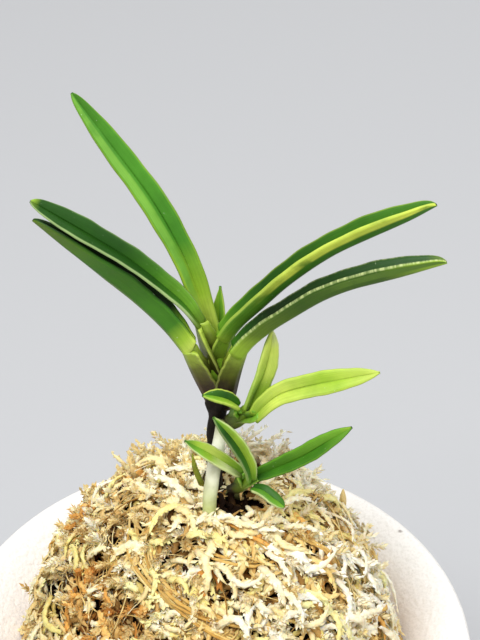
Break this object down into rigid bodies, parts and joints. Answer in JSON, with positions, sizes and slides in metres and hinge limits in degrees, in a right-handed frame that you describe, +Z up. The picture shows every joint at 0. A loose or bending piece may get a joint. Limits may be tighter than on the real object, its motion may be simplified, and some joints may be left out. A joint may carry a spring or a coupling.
{
  "type": "wind orchid in a pot",
  "caption": "Wind orchid: a fan of folded strap leaves on a short dark stem, with offshoots and roots, on a tall dome of sphagnum moss in a round white pot with a wide flared rim",
  "frame": {"origin": "centre of the pot's foot, on the plane it stands on", "axes": "+Z up along the pot's axis; X along the spread of the leaf fan, with the two long right leaves towards +X; -Y is the side seen in the picture"},
  "size_m": [0.12, 0.12, 0.2426],
  "materials": {
    "pot_ceramic": "matt white, fine orange-peel grain",
    "moss": "dry, pale cream to straw, darker in the gaps",
    "stem": "near-black brown stem under olive sheaths",
    "offshoot_stem": "olive sheath",
    "root": "whitish, with a green tint",
    "leaf_left_lower": "dark green, satin, leathery",
    "leaf_left_middle": "dark green, satin, leathery",
    "leaf_left_upper": "mid green, satin, leathery",
    "leaf_centre": "young yellow-green, satin, leathery",
    "leaf_right_upper": "mid green, satin, leathery",
    "leaf_right_lower": "dark green, satin, leathery",
    "upper_offshoot_leaf_left": "mid green, satin, leathery",
    "upper_offshoot_leaf_middle": "young yellow-green, satin, leathery",
    "upper_offshoot_leaf_right": "young yellow-green, satin, leathery",
    "lower_offshoot_leaf_left": "mid green, satin, leathery",
    "lower_offshoot_leaf_upright": "young yellow-green, satin, leathery",
    "lower_offshoot_leaf_right": "dark green, satin, leathery",
    "lower_offshoot_leaf_front": "mid green, satin, leathery"
  },
  "bodies": {
    "root": {"pot": "pot_ceramic", "moss": "moss", "main_stem": "stem", "upper_offshoot_stem": "offshoot_stem", "lower_offshoot_stem": "offshoot_stem", "leaf_left_lower": "leaf_left_lower", "leaf_left_middle": "leaf_left_middle", "leaf_left_upper": "leaf_left_upper", "leaf_centre": "leaf_centre", "leaf_right_upper": "leaf_right_upper", "leaf_right_lower": "leaf_right_lower", "upper_offshoot_leaf_left": "upper_offshoot_leaf_left", "upper_offshoot_leaf_middle": "upper_offshoot_leaf_middle", "upper_offshoot_leaf_right": "upper_offshoot_leaf_right", "lower_offshoot_leaf_left": "lower_offshoot_leaf_left", "lower_offshoot_leaf_upright": "lower_offshoot_leaf_upright", "lower_offshoot_leaf_right": "lower_offshoot_leaf_right", "lower_offshoot_leaf_front": "lower_offshoot_leaf_front", "aerial_root": "root", "root_left": "root", "root_back": "root", "root_right": "root", "root_centre": "root"}
  },
  "joints": []
}
